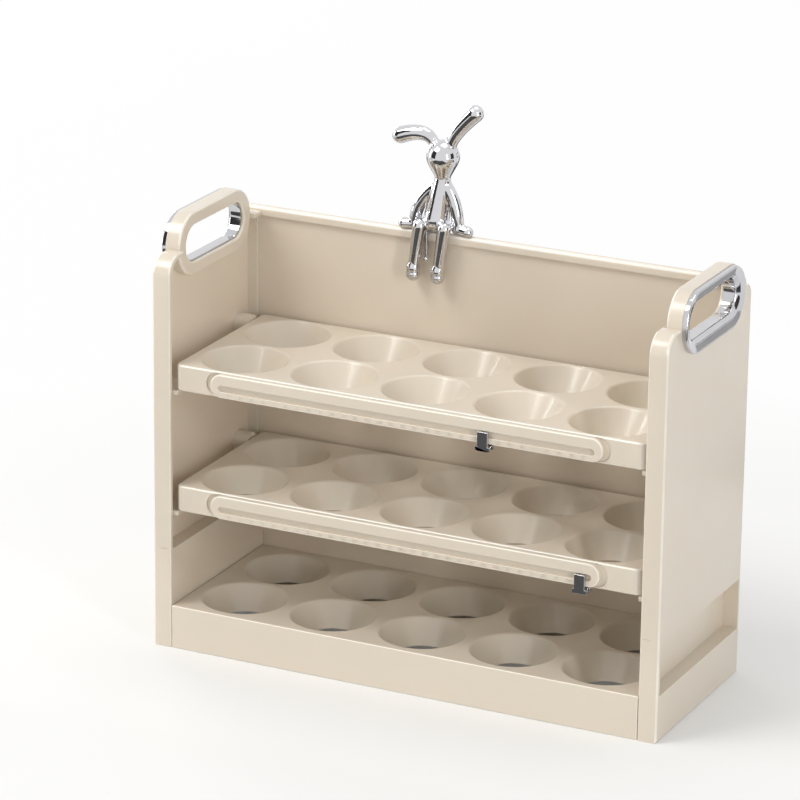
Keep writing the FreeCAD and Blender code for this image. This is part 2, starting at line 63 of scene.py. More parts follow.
# the cream finish paints a highlight on the faces that carry this attribute
ROUNDED = "rounded"  # attribute of the faces that round off an edge
NOISE_MIDDLE = (0.3, 0.7)  # the values that most of a noise lies between

Point = tuple[float, float, float]
Pair = tuple[float, float]
Colour = tuple[float, float, float]


class Side(Enum):
    """Left and right hand of the holder, as the sign of X."""

    LEFT = -1
    RIGHT = 1


class Tier(Enum):
    """The two flip-up shelves."""

    LOWER = "lower"
    UPPER = "upper"


class Slot(Enum):
    """Material slots of the record."""

    CREAM = "cream_moulding"
    PLATED = "plated_trim"


class Axis(Enum):
    """Axes of the shared frame."""

    X = 0
    Y = 1
    Z = 2


class Join(Enum):
    """Ways to combine two closed shapes."""

    CUT = "DIFFERENCE"
    ADD = "UNION"


class Facing(Enum):
    """Planes that slot outlines are drawn in: a side wall along Y, or a front along X."""

    SIDE = "side"
    FRONT = "front"

    def matrix(self, height: float, level: float) -> Matrix:
        """Turn a drawing in XY into this plane.

        Args:
            height: Place of the drawing's middle along Z.
            level: Place of the plane along its own normal.

        Returns:
            The matrix from the drawing to the shared frame.
        """
        if self is Facing.SIDE:
            return Matrix(((0, 0, 1, level), (1, 0, 0, 0), (0, 1, 0, height), (0, 0, 0, 1)))
        return Matrix(((1, 0, 0, 0), (0, 0, -1, level), (0, 1, 0, height), (0, 0, 0, 1)))


def in_mm(box: Sequence[Sequence[float]]) -> tuple[Point, Point]:
    """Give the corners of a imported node's box in millimetres."""
    low, high = (tuple(part / MM for part in corner) for corner in box)
    return low, high


def meshed(name: str, shape: BMesh) -> Mesh:
    """Turn a shape into a mesh; the shape is used up."""
    mesh = bpy.data.meshes.new(name)
    shape.to_mesh(mesh)
    shape.free()
    return mesh


def placed(name: str, data: bpy.types.ID) -> Object:
    """Make an object and link it to the scene."""
    item = bpy.data.objects.new(name, data)
    bpy.context.scene.collection.objects.link(item)
    return item


def discard(item: Object) -> None:
    """Delete a work object with its mesh."""
    mesh = item.data
    bpy.data.objects.remove(item)
    bpy.data.meshes.remove(mesh)


def worked(item: Object) -> BMesh:
    """Give an object's shape as its modifiers leave it."""
    shape = bmesh.new()
    shape.from_object(item, bpy.context.evaluated_depsgraph_get())
    return shape


def turns(whole: float, flats: int) -> list[float]:
    """Give the angles of an arc from 0 to a whole turn in degrees, in equal steps."""
    return [math.radians(whole * step / flats) for step in range(flats + 1)]


def aimed(place: Sequence[float], target: Sequence[float], along: str) -> Matrix:
    """Give the matrix that sets a thing in its place and points one of its axes at a target."""
    aim = (Vector(target) - Vector(place)).to_track_quat(along, "Y").to_matrix().to_4x4()
    return Matrix.Translation(place) @ aim


def block(low: Sequence[float], high: Sequence[float]) -> BMesh:
    """Make a box between two corners.

    Args:
        low: Lowest corner.
        high: Highest corner.

    Returns:
        A closed shape of six faces.
    """
    shape = bmesh.new()
    low_corner, high_corner = Vector(low), Vector(high)
    middle = Matrix.Translation((low_corner + high_corner) / 2)
    stretch = Matrix.Diagonal((*(high_corner - low_corner), 1.0))
    bmesh.ops.create_cube(shape, size=1.0, matrix=middle @ stretch)
    return shape


def rod(start: Sequence[float], along: Axis, length: float, radius: float, segments: int = 32) -> BMesh:
    """Make a closed cylinder.

    Args:
        start: Middle of the first end.
        along: Axis that the cylinder runs along.
        length: Length along the axis.
        radius: Radius of the cylinder.
        segments: Number of flats round it.

    Returns:
        A closed shape.
    """
    shape = bmesh.new()
    upright = {Axis.X: Matrix.Rotation(math.pi / 2, 4, "Y"), Axis.Y: Matrix.Rotation(-math.pi / 2, 4, "X"),
               Axis.Z: Matrix.Identity(4)}
    lift = Matrix.Translation((0, 0, length / 2))
    bmesh.ops.create_cone(shape, cap_ends=True, segments=segments, radius1=radius, radius2=radius,
                          depth=length, matrix=Matrix.Translation(start) @ upright[along] @ lift)
    return shape


def lies_at(edge: BMEdge, axis: Axis, value: float) -> bool:
    """Tell whether both ends of an edge have the given coordinate."""
    return all(abs(vert.co[axis.value] - value) < TOUCH for vert in edge.verts)


def runs_along(edge: BMEdge, axis: Axis) -> bool:
    """Tell whether an edge is parallel to an axis."""
    line = (edge.verts[1].co - edge.verts[0].co).normalized()
    return abs(line[axis.value]) > 1 - TOUCH


def round_edges(shape: BMesh, radius: float, flats: int, wanted: Callable[[BMEdge], bool]) -> None:
    """Round the edges that a test picks out.

    Args:
        shape: Shape to change.
        radius: Radius of the rounding.
        flats: Number of flats across it.
        wanted: Test for an edge.
    """
    edges = [edge for edge in shape.edges if wanted(edge)]
    bmesh.ops.bevel(shape, geom=edges, offset=radius, offset_type="OFFSET", segments=flats, profile=0.5,
                    affect="EDGES", material=-1, clamp_overlap=False)


def loft(shape: BMesh, loops: Sequence[list[BMEdge]], ring: bool) -> BMesh:
    """Skin a row of outlines into a closed shape.

    Args:
        shape: Shape that holds the outlines.
        loops: Outlines in order.
        ring: Join the last outline to the first; otherwise both ends are filled.

    Returns:
        The same shape.
    """
    for first, second in zip(loops, loops[1:]):
        bmesh.ops.bridge_loops(shape, edges=first + second)
    if ring:
        bmesh.ops.bridge_loops(shape, edges=loops[-1] + loops[0])
    else:
        bmesh.ops.holes_fill(shape, edges=loops[0] + loops[-1], sides=0)
    bmesh.ops.recalc_face_normals(shape, faces=shape.faces)
    return shape


@dataclass(frozen=True)
class SlotOutline:
    """A slot with round ends, by its plane, the height of its middle, its length and its rise."""

    facing: Facing
    height: float
    length: float
    rise: float
    corners: int = 48

    def loop(self, shape: BMesh, level: float, grow: float = 0.0) -> list[BMEdge]:
        """Draw the outline.

        Args:
            shape: Shape that takes the outline.
            level: Place along the plane's normal.
            grow: How much wider the outline is on every side.

        Returns:
            The edges of the closed outline.
        """
        length, rise = self.length + 2 * grow, self.rise + 2 * grow
        half_turn = Matrix.Rotation(math.pi / self.corners, 4, "Z")
        drawn = bmesh.ops.create_circle(shape, cap_ends=False, segments=self.corners, radius=rise / 2,
                                        matrix=half_turn)
        verts: list[BMVert] = drawn["verts"]
        stretch = (length - rise) / 2
        for sign in (-1, 1):
            end = [vert for vert in verts if vert.co.x * sign > 0]
            bmesh.ops.translate(shape, vec=(sign * stretch, 0, 0), verts=end)
        bmesh.ops.transform(shape, matrix=self.facing.matrix(self.height, level), verts=verts)
        return list({edge for vert in verts for edge in vert.link_edges})

    def prism(self, levels: Pair) -> BMesh:
        """Make a straight prism between two levels."""
        shape = bmesh.new()
        return loft(shape, [self.loop(shape, level) for level in levels], ring=False)


def gathered(shapes: Iterable[BMesh]) -> BMesh:
    """Put several shapes into one, without joining their faces.

    Args:
        shapes: Shapes to gather; they are used up.

    Returns:
        One shape with all of them.
    """
    whole = bmesh.new()
    for shape in shapes:
        mesh = meshed("gathered", shape)
        whole.from_mesh(mesh)
        bpy.data.meshes.remove(mesh)
    return whole


def combine(base: BMesh, how: Join, *tools: BMesh) -> BMesh:
    """Cut closed shapes from another one by one, or add them.

    Args:
        base: Shape that is changed.
        how: Cut or add.
        tools: Shapes that cut or are added.

    Returns:
        The new shape; all the others are used up.
    """
    for tool in tools:
        holders = []
        for label, shape in (("bench_base", base), ("bench_tool", tool)):
            bmesh.ops.recalc_face_normals(shape, faces=shape.faces)
            holders.append(placed(label, meshed(label, shape)))
        work = holders[0].modifiers.new("combine", "BOOLEAN")
        work.object = holders[1]
        work.operation = how.value
        work.solver = "EXACT"
        base = worked(holders[0])
        for holder in holders:
            discard(holder)
        bmesh.ops.remove_doubles(base, verts=base.verts, dist=TOUCH)
        bmesh.ops.dissolve_degenerate(base, dist=TOUCH, edges=base.edges)
    return base


def mark_rounded(shape: BMesh, strips: Pair) -> None:
    """Mark the slanting strips of faces that round off an edge, for the finish to paint a highlight on.

    Args:
        shape: Shape to mark.
        strips: Least and greatest width of a strip that counts as the rounding of an edge.
    """
    fine, wide = strips
    layer = shape.faces.layers.float.new(ROUNDED)
    shape.normal_update()
    for face in shape.faces:
        slants = max(abs(part) for part in face.normal) < LEVEL
        face[layer] = float(slants and fine < min(edge.calc_length() for edge in face.edges) < wide)


def handed(shape: BMesh, side: Side) -> BMesh:
    """Keep a right-hand shape as it is, or turn it into its left-hand twin."""
    if side is Side.LEFT:
        bmesh.ops.scale(shape, vec=(side.value, 1, 1), verts=shape.verts)
        bmesh.ops.reverse_faces(shape, faces=shape.faces)
    return shape


def node_material(name: str) -> tuple[Material, NodeTree, Node]:
    """Make a node material, and give it with its tree and its shader."""
    material = bpy.data.materials.new(name)
    material.use_nodes = True
    return material, material.node_tree, material.node_tree.nodes["Principled BSDF"]


def link(tree: NodeTree, source: NodeSocket, target: NodeSocket) -> None:
    """Join two sockets of a node tree."""
    tree.links.new(source, target)


def noise(tree: NodeTree, waves: Pair) -> NodeSocket:
    """Add a noise texture on Object coordinates.

    Args:
        tree: Tree that takes the nodes.
        waves: Waves per metre, and octaves.

    Returns:
        The socket with the noise.
    """
    place = tree.nodes.new("ShaderNodeTexCoord")
    texture = tree.nodes.new("ShaderNodeTexNoise")
    texture.inputs["Scale"].default_value, texture.inputs["Detail"].default_value = waves
    link(tree, place.outputs["Object"], texture.inputs["Vector"])
    return texture.outputs["Fac"]


def ranged(tree: NodeTree, source: NodeSocket, goal: Pair, span: Pair = NOISE_MIDDLE) -> NodeSocket:
    """Spread one range of values over another.

    Args:
        tree: Tree that takes the node.
        source: Socket with the value.
        goal: Values at both ends of the new range.
        span: Values at both ends of the old range.

    Returns:
        The socket with the new value.
    """
    spread = tree.nodes.new("ShaderNodeMapRange")
    for end, value in zip(("From Min", "From Max", "To Min", "To Max"), (*span, *goal)):
        spread.inputs[end].default_value = value
    link(tree, source, spread.inputs["Value"])
    return spread.outputs["Result"]


def toned(tree: NodeTree, source: NodeSocket, deep: Colour, tone: Colour) -> NodeSocket:
    """Turn a noise into tones.

    Args:
        tree: Tree that takes the node.
        source: Socket with the noise.
        deep: Tone at the noise's low end.
        tone: Tone at its high end.

    Returns:
        The socket with the colour.
    """
    ramp = tree.nodes.new("ShaderNodeValToRGB")
    for step, position, colour in zip(ramp.color_ramp.elements, NOISE_MIDDLE, (deep, tone)):
        step.position = position
        step.color = (*colour, 1.0)
    link(tree, source, ramp.inputs["Fac"])
    return ramp.outputs["Color"]


def maths(tree: NodeTree, operation: str, first: NodeSocket, second: NodeSocket) -> NodeSocket:
    """Work out one value from two sockets."""
    work = tree.nodes.new("ShaderNodeMath")
    work.operation = operation
    for source, target in zip((first, second), work.inputs):
        link(tree, source, target)
    return work.outputs["Value"]


def bumped(tree: NodeTree, shader: Node, waves: Pair, strength: float, depth: float) -> None:
    """Roughen a shader's normals with a noise.

    Args:
        tree: Tree that takes the nodes.
        shader: Shader to change.
        waves: Waves per metre, and octaves.
        strength: Strength of the bump.
        depth: Depth of the bump in metres.
    """
    bump = tree.nodes.new("ShaderNodeBump")
    bump.inputs["Strength"].default_value = strength
    bump.inputs["Distance"].default_value = depth
    link(tree, noise(tree, waves), bump.inputs["Height"])
    link(tree, bump.outputs["Normal"], shader.inputs["Normal"])


@dataclass(frozen=True)
class MouldedPlastic:
    """Satin moulded plastic with a faint drift of tone, a fine grain and a painted highlight on its rounded
    edges.
    """

    name: str
    tone: Colour
    deep_tone: Colour
    # painted highlight: the lighter tone laid on the faces that round off an edge
    edge_highlight_tone: Colour
    drift: Pair = (14.0, 2.0)
    polish: Pair = (90.0, 4.0)
    rough: Pair = (0.29, 0.37)
    # how strongly the painted edge highlight shows, spread by the polish noise
    edge_highlight_share: Pair = (0.65, 1.0)
    grain: Pair = (2600.0, 2.0)
    grain_strength: float = 0.05
    grain_depth: float = 0.0001
    coat: float = 0.5
    coat_rough: float = 0.16
    bleed: float = 0.12
    bleed_reach: Point = (0.004, 0.0025, 0.0015)

    def material(self) -> Material:
        """Make the node material."""
        finish, tree, shader = node_material(self.name)
        polish = noise(tree, self.polish)
        link(tree, ranged(tree, polish, self.rough), shader.inputs["Roughness"])
        # painted highlight: the faces that round off an edge are mixed towards the highlight tone
        rounded = tree.nodes.new("ShaderNodeAttribute")
        rounded.attribute_name = ROUNDED
        edge_highlight_share = maths(tree, "MULTIPLY", rounded.outputs["Fac"], ranged(tree, polish, self.edge_highlight_share))
        edges = tree.nodes.new("ShaderNodeMixRGB")
        edges.inputs["Color2"].default_value = (*self.edge_highlight_tone, 1.0)
        link(tree, edge_highlight_share, edges.inputs["Fac"])
        link(tree, toned(tree, noise(tree, self.drift), self.deep_tone, self.tone), edges.inputs["Color1"])
        link(tree, edges.outputs["Color"], shader.inputs["Base Color"])
        bumped(tree, shader, self.grain, self.grain_strength, self.grain_depth)
        shader.inputs["Coat Weight"].default_value = self.coat
        shader.inputs["Coat Roughness"].default_value = self.coat_rough
        shader.inputs["Subsurface Weight"].default_value = self.bleed
        shader.inputs["Subsurface Radius"].default_value = self.bleed_reach
        shader.inputs["Subsurface Scale"].default_value = 1.0
        return finish


@dataclass(frozen=True)
class PlatedMetal:
    """Bright plating with faint polishing haze and a slightly wavy skin."""

    name: str
    tone: Colour = (0.60, 0.60, 0.62)
    deep_share: float = 0.95
    tint: Pair = (120.0, 2.0)
    haze: Pair = (300.0, 5.0)
    rough: Pair = (0.04, 0.09)
    wave: Pair = (140.0, 1.0)
    wave_strength: float = 0.04
    wave_depth: float = 0.0004

    def material(self) -> Material:
        """Make the node material."""
        finish, tree, shader = node_material(self.name)
        shader.inputs["Metallic"].default_value = 1.0
        deep = tuple(self.deep_share * part for part in self.tone)
        link(tree, toned(tree, noise(tree, self.tint), deep, self.tone), shader.inputs["Base Color"])
        link(tree, ranged(tree, noise(tree, self.haze), self.rough), shader.inputs["Roughness"])
        bumped(tree, shader, self.wave, self.wave_strength, self.wave_depth)
        return finish


@dataclass(frozen=True)
class Dressing:
    """A finish with the record's slot that it stands for and the small rounding of its edges."""

    slot: Slot
    material: Material
    edge: float


@dataclass
class Piece:
    """A finished piece: its name, the body it rides on and the nodes it stands for."""

    name: str
    body: str
    nodes: tuple[str, ...] = ()
    smooth_angle: float = 33.0
    strips: Pair = (0.15, 0.62)
    edge_flats: int = 2

    def finish(self, shape: BMesh, dressing: Dressing) -> None:
        """Make the object, round its last sharp edges, dress it and set it on its body.

        Args:
            shape: Shape in millimetres; it is used up.
            dressing: Finish of the piece.
        """
        mark_rounded(shape, self.strips)
        bmesh.ops.scale(shape, vec=(MM, MM, MM), verts=shape.verts)
        mesh = meshed(self.name, shape)
        mesh.shade_smooth()
        mesh.set_sharp_from_angle(angle=math.radians(self.smooth_angle))
        mesh.materials.append(dressing.material)
        item = placed(self.name, mesh)
        if dressing.edge > 0:
            rounding = item.modifiers.new("edge_rounding", "BEVEL")
            rounding.width = dressing.edge * MM
            rounding.segments = self.edge_flats
            rounding.limit_method = "ANGLE"
            rounding.angle_limit = math.radians(self.smooth_angle)
            rounding.profile = 0.5
            rounding.use_clamp_overlap = True
        shading = item.modifiers.new("flat_faces_lead", "WEIGHTED_NORMAL")
        shading.keep_sharp = True
        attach(item, self.body)
        if self.nodes:
            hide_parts(*self.nodes)
        LOG.info("%s: %d faces, rides on %s", self.name, len(mesh.polygons), self.body)


@dataclass
class EggCups:
    """Ten conical egg seats with open bottoms, in two rows of five."""

    pitch: float = 47.0
    row_pitch: float = 43.4
    row_middle: float = -2.1
    per_row: int = 5
    radius: float = 20.5
    hole: float = 13.0
    depth: float = 12.2
    wall: float = 1.6
    lip: float = 2.0
    lip_flats: int = 3
    steps: int = 72

    def __post_init__(self) -> None:
        """Work out how much a cup widens for each millimetre of height."""
        self.slope = (self.radius - self.hole) / self.depth

    def row(self, sign: int) -> list[Pair]:
        """Give the middles of one row of cups.

        Args:
            sign: -1 for the front row and 1 for the rear row.

        Returns:
            X and Y of each cup.
        """
        middle = (self.per_row - 1) / 2
        return [((column - middle) * self.pitch, self.row_middle + sign * self.row_pitch / 2)
                for column in range(self.per_row)]

    def shells(self, sign: int, top: float) -> BMesh:
        """Make the outer cones of one row.

        Args:
            sign: -1 for the front row and 1 for the rear row.
            top: Height of the plate that carries the cups.

        Returns:
            Five closed cones, ending just under the plate's top.
        """
        shape = bmesh.new()
        height = self.depth - self.wall / 2
        low_radius = self.hole + self.wall
        for x, y in self.row(sign):
            place = Matrix.Translation((x, y, top - self.depth + height / 2))
            bmesh.ops.create_cone(shape, cap_ends=True, segments=self.steps, radius1=low_radius,
                                  radius2=low_radius + self.slope * height, depth=height, matrix=place)
        return shape

    def lip_arc(self, top: float) -> list[Pair]:
        """Give radius and height of the points that round a cup's lip, from the wall to the plate."""
        rise = math.atan2(self.depth, self.radius - self.hole)
        middle = self.radius + self.lip * math.tan(rise / 2)
        angles = [rise * (1 - step / self.lip_flats) for step in range(self.lip_flats + 1)]
        return [(middle - self.lip * math.sin(angle), top - self.lip + self.lip * math.cos(angle))
                for angle in angles]

    def seats(self, top: float) -> BMesh:
        """Spin the shapes that hollow out all ten cups.

        Args:
            top: Height of the plate that carries the cups.

        Returns:
            Ten closed cutting shapes.
        """
        low, high = top - self.depth - REACH, top + REACH
        arc = self.lip_arc(top)
        outline = [(0.0, low), (self.hole - self.slope * REACH, low), *arc, (arc[-1][0], high), (0.0, high)]
        shape = bmesh.new()
        for x, y in self.row(-1) + self.row(1):
            line = [shape.verts.new((x + radius, y, height)) for radius, height in outline]
            edges = [shape.edges.new(pair) for pair in zip(line, line[1:])]
            bmesh.ops.spin(shape, geom=line + edges, cent=(x, y, 0), axis=(0, 0, 1), dvec=(0, 0, 0),
                           angle=2 * math.pi, steps=self.steps, use_merge=True)
        bmesh.ops.remove_doubles(shape, verts=shape.verts, dist=TOUCH)
        bmesh.ops.recalc_face_normals(shape, faces=shape.faces)
        return shape

    def into(self, skin: BMesh, top: float) -> BMesh:
        """Set the ten cups into a plate.

        Args:
            skin: Shape with the plate; it is used up.
            top: Height of the plate's top.

        Returns:
            The shape with its cups.
        """
        skin = combine(skin, Join.ADD, *(self.shells(sign, top) for sign in (-1, 1)))
        return combine(skin, Join.CUT, self.seats(top))


@dataclass
class EggShelf:
    """A flip-up shelf: rounded plate with a skirt, ten cups, trunnions and the seat of its date rail."""

    tier: Tier
    cups: EggCups = field(default_factory=EggCups)
    end: float = 119.5
    plate: float = 2.0
    skirt: float = 2.4
    front_round: float = 4.0
    front_flats: int = 12
    rear_round: float = 3.0
    rear_flats: int = 6
    edge_round: float = 1.1
    edge_flats: int = 4
    pin_radius: float = 2.5
    pin_drop: float = 3.0
    pin_inset: float = 10.0
    seat_depth: float = 0.8
    seat_length: float = 205.4
    seat_rise: float = 11.6

    def __post_init__(self) -> None:
        """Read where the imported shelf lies."""
        low, high = in_mm(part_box(f"{self.tier.value}_shelf"))
        self.reach = high[0]
        self.front, self.rear = low[1], high[1]
        self.low, self.top = low[2], high[2]

    def tray(self, inset: float, heights: Pair, front_round: float, rear_round: float) -> BMesh:
        """Make a block with the shelf's outline and rounded upright corners.

        Args:
            inset: Distance inside the shelf's outline.
            heights: Bottom and top of the block.
            front_round: Radius of the front corners.
            rear_round: Radius of the rear corners.

        Returns:
            A closed shape.
        """
        front, rear = self.front + inset, self.rear - inset
        shape = block((inset - self.end, front, heights[0]), (self.end - inset, rear, heights[1]))
        round_edges(shape, front_round, self.front_flats,
                    lambda edge: runs_along(edge, Axis.Z) and lies_at(edge, Axis.Y, front))
        round_edges(shape, rear_round, self.rear_flats,
                    lambda edge: runs_along(edge, Axis.Z) and lies_at(edge, Axis.Y, rear))
        return shape

    def shape(self) -> BMesh:
        """Make the shelf's shape."""
        skin = self.tray(0.0, (self.low, self.top), self.front_round, self.rear_round)
        round_edges(skin, self.edge_round, self.edge_flats,
                    lambda edge: lies_at(edge, Axis.Z, self.top) or lies_at(edge, Axis.Z, self.low))
        hollow = self.tray(self.skirt, (self.low - REACH, self.top - self.plate),
                           self.front_round - self.skirt, self.rear_round / 2)
        skin = self.cups.into(combine(skin, Join.CUT, hollow), self.top)
        seat = SlotOutline(Facing.FRONT, (self.low + self.top) / 2, self.seat_length, self.seat_rise)
        skin = combine(skin, Join.CUT, seat.prism((self.front - REACH, self.front + self.seat_depth)))
        pin_height, pin_middle = self.top - self.pin_drop, self.rear - self.pin_inset
        length = self.reach - self.end + self.skirt / 2
        pins = gathered([rod((start, pin_middle, pin_height), Axis.X, length, self.pin_radius)
                         for start in (-self.reach, self.end - self.skirt / 2)])
        return combine(skin, Join.ADD, pins)

    def dress(self, dressing: Dressing) -> None:
        """Build the shelf and give it its finish."""
        node = f"{self.tier.value}_shelf"
        Piece(f"moulded_{node}", node, (node,)).finish(self.shape(), dressing)


@dataclass
class BaseTray:
    """The fixed bottom layer: a plain box with ten cups and a rear ledge under the back panel."""

    cups: EggCups = field(default_factory=EggCups)
    end: float = 120.3
    rear: float = 44.1
    plate: float = 2.0
    skirt: float = 2.4
    edge_round: float = 0.7
    edge_flats: int = 3

    def __post_init__(self) -> None:
        """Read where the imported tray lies."""
        low, high = in_mm(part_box("base_tray"))
        self.front, self.ledge_rear = low[1], high[1]
        self.low, self.top = low[2], high[2]

    def shape(self) -> BMesh:
        """Make the tray's shape."""
        skin = block((-self.end, self.front, self.low), (self.end, self.rear, self.top))
        round_edges(skin, self.edge_round, self.edge_flats,
                    lambda edge: lies_at(edge, Axis.Z, self.top) or lies_at(edge, Axis.Y, self.front))
        inside = self.end - self.skirt
        hollow = block((-inside, self.front + self.skirt, self.low - REACH),
                       (inside, self.rear - self.skirt, self.top - self.plate))
        ledge = block((-self.end, self.rear - self.skirt, self.low),
                      (self.end, self.ledge_rear, self.low + self.plate))
        skin = combine(combine(skin, Join.CUT, hollow), Join.ADD, ledge)
        return self.cups.into(skin, self.top)

    def dress(self, dressing: Dressing) -> None:
        """Build the tray and give it its finish."""
        Piece("moulded_base_tray", "frame", ("base_tray",)).finish(self.shape(), dressing)


@dataclass
class SidePanel:
    """A moulded side: thin wall with flanges, carrying loop, grab pocket, shelf ledges and pivot bosses."""

    side: Side
    inner: float = 120.5
    outer: float = 130.0
    depth: float = 98.0
    shoulder: float = 193.2
    skin: float = 2.0
    flange: float = 2.2
    front_round: float = 10.0
    rear_round: float = 6.0
    corner_flats: int = 14
    outer_round: float = 1.5
    outer_flats: int = 4
    inner_round: float = 0.9
    inner_flats: int = 3
    loop_length: float = 70.5
    loop_rise: float = 30.6
    loop_inner: float = 122.5
    loop_round: float = 1.1
    loop_flats: int = 4
    mouth_length: float = 57.5
    mouth_rise: float = 18.1
    mouth_ease: tuple[Pair, ...] = ((0.0, 0.6), (0.2, 0.2), (0.6, 0.0))
    bore_length: float = 59.2
    bore_rise: float = 19.8
    loop_lip: float = 1.6
    pocket_floor: float = 22.7
    pocket_roof: float = 47.5
    channel_front: float = 42.1
    lip_places: Pair = (42.6, 44.2)
    lip_reach: float = 5.0
    lip_top: float = 190.6
    ledge_inner: float = 118.0
    ledge_length: float = 18.0
    ledge_front: float = -46.2
    ledge_tops: Pair = (68.5, 128.5)
    boss_inner: float = 120.0
    boss_radius: float = 5.08
    bore_radius: float = 2.58
    pivot_middle: float = 32.0
    pivot_heights: Pair = (78.5, 138.5)
    dash: Point = (3.8, 0.5, 0.3)
    dash_place: Pair = (124.0, 49.8)

    def outline(self, levels: Pair, inset: float, low: float) -> BMesh:
        """Make the panel's outline without its loop, as a slab.

        Args:
            levels: Inner and outer X of the slab.
            inset: Distance inside the outline.
            low: Bottom of the slab.

        Returns:
            A closed shape with rounded top corners.
        """
        half, top = self.depth / 2 - inset, self.shoulder - inset
        shape = block((levels[0], -half, low), (levels[1], half, top))
        for middle, radius in ((-half, self.front_round), (half, self.rear_round)):
            round_edges(shape, radius - inset, self.corner_flats,
                        lambda edge: lies_at(edge, Axis.Y, middle) and lies_at(edge, Axis.Z, top))
        return shape

    def slot(self, length: float, rise: float) -> SlotOutline:
        """Give a slot outline round the middle of the carrying loop."""
        return SlotOutline(Facing.SIDE, self.shoulder, length, rise)

    def loop(self) -> BMesh:
        """Make the carrying loop, rounded on its inner side and bored for the plated sleeve."""
        shape = bmesh.new()
        radius, inner = self.loop_round, self.loop_inner
        band = self.slot(self.loop_length, self.loop_rise)
        mouth = self.slot(self.mouth_length, self.mouth_rise)
        bore = self.slot(self.bore_length, self.bore_rise)
        loops = [band.loop(shape, self.outer)]
        loops += [band.loop(shape, inner + radius * (1 - math.sin(turn)), -radius * (1 - math.cos(turn)))
                  for turn in turns(90, self.loop_flats)]
        loops += [mouth.loop(shape, inner + level, ease) for level, ease in self.mouth_ease]
        loops.append(mouth.loop(shape, inner + self.loop_lip))
        loops += [bore.loop(shape, level) for level in (inner + self.loop_lip, self.outer)]
        return loft(shape, loops, ring=True)

    def hollows(self) -> list[BMesh]:
        """Make the shapes that cut the bay, foot, pocket and the ways of the rim and the loop."""
        hollow, within = self.outer - self.skin, self.depth / 2 - self.flange
        inside, outside = self.inner - REACH, self.outer + REACH
        return [
            self.outline((inside, hollow), self.flange, self.pocket_roof + self.skin),
            block((inside, -within, self.flange), (hollow, within, self.pocket_floor - self.skin)),
            block((self.inner + self.skin, -within, self.pocket_floor), (outside, within, self.pocket_roof)),
            block((inside, self.channel_front, self.shoulder - self.rear_round),
                  (hollow, within, self.shoulder + REACH)),
            self.slot(self.loop_length, self.loop_rise).prism((inside, outside)),
        ]

    def fittings(self) -> list[BMesh]:
        """Make the loop, the lip that holds the back panel, the shelf ledges and the pivot bosses."""
        wall = self.outer - self.skin / 2
        lip_low = self.pocket_roof + self.skin / 2
        lip_inner = self.outer - self.skin - self.lip_reach
        ledges = [block((self.ledge_inner, self.ledge_front, top - self.skin),
                        (wall, self.ledge_front + self.ledge_length, top)) for top in self.ledge_tops]
        bosses = [rod((self.boss_inner, self.pivot_middle, height), Axis.X, wall - self.boss_inner,
                      self.boss_radius) for height in self.pivot_heights]
        lip = block((lip_inner, self.lip_places[0], lip_low), (wall, self.lip_places[1], self.lip_top))
        return [self.loop(), lip, *ledges, *bosses]

    def marks(self) -> BMesh:
        """Make the shapes that cut the pivot bores and the small dash on the front flange."""
        length, rise, depth = self.dash
        place, height = self.dash_place
        front = -self.depth / 2
        dash = block((place - length / 2, front - REACH, height - rise / 2),
                     (place + length / 2, front + depth, height + rise / 2))
        bore = self.outer - self.skin - self.boss_inner
        bores = [rod((self.boss_inner - REACH, self.pivot_middle, height), Axis.X, bore, self.bore_radius)
                 for height in self.pivot_heights]
        return gathered([*bores, dash])

    def shape(self) -> BMesh:
        """Make the right-hand panel's shape."""
        slab = self.outline((self.inner, self.outer), 0.0, 0.0)
        round_edges(slab, self.outer_round, self.outer_flats, lambda edge: lies_at(edge, Axis.X, self.outer))
        round_edges(slab, self.inner_round, self.inner_flats,
                    lambda edge: lies_at(edge, Axis.X, self.inner) and not lies_at(edge, Axis.Z, 0.0))
        slab = combine(slab, Join.CUT, *self.hollows())
        slab = combine(slab, Join.ADD, *self.fittings())
        return combine(slab, Join.CUT, self.marks())

    def dress(self, dressing: Dressing) -> None:
        """Build the panel and give it its finish."""
        node = f"{self.side.name.lower()}_side_panel"
        Piece(f"moulded_{node}", "frame", (node,)).finish(handed(self.shape(), self.side), dressing)


@dataclass
class BackPanel:
    """The rear sheet with its rounded top rim and a sunk field on its rear face."""

    wide: float = 127.8
    narrow: float = 120.3
    step: float = 49.7
    sheet: float = 2.4
    bead: float = 4.5
    bead_flats: int = 6
    field_inset: float = 9.0
    field_depth: float = 0.4
    field_round: float = 6.0
    field_flats: int = 8

    def __post_init__(self) -> None:
        """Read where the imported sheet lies."""
        low, high = in_mm(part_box("back_panel"))
        self.rear = high[1]
        self.low, self.top = low[2], high[2]

    def shape(self) -> BMesh:
        """Make the sheet's shape."""
        front = self.rear - self.sheet
        rim_low = self.top - self.bead
        sheet = block((-self.narrow, front, self.low), (self.narrow, self.rear, self.step + REACH))
        upper = block((-self.wide, front, self.step), (self.wide, self.rear, self.top - self.bead / 2))
        rim = block((-self.wide, self.rear - self.bead, rim_low), (self.wide, self.rear, self.top))
        round_edges(rim, self.bead / 2 - TOUCH, self.bead_flats,
                    lambda edge: runs_along(edge, Axis.X) and lies_at(edge, Axis.Z, self.top))
        across = self.narrow - self.field_inset
        sunk = block((-across, self.rear - self.field_depth, self.low + self.field_inset),
                     (across, self.rear + REACH, rim_low - self.field_inset))
        round_edges(sunk, self.field_round, self.field_flats, lambda edge: runs_along(edge, Axis.Y))
        return combine(combine(sheet, Join.ADD, upper, rim), Join.CUT, sunk)

    def dress(self, dressing: Dressing) -> None:
        """Build the sheet and give it its finish."""
        Piece("moulded_back_panel", "frame", ("back_panel",)).finish(self.shape(), dressing)


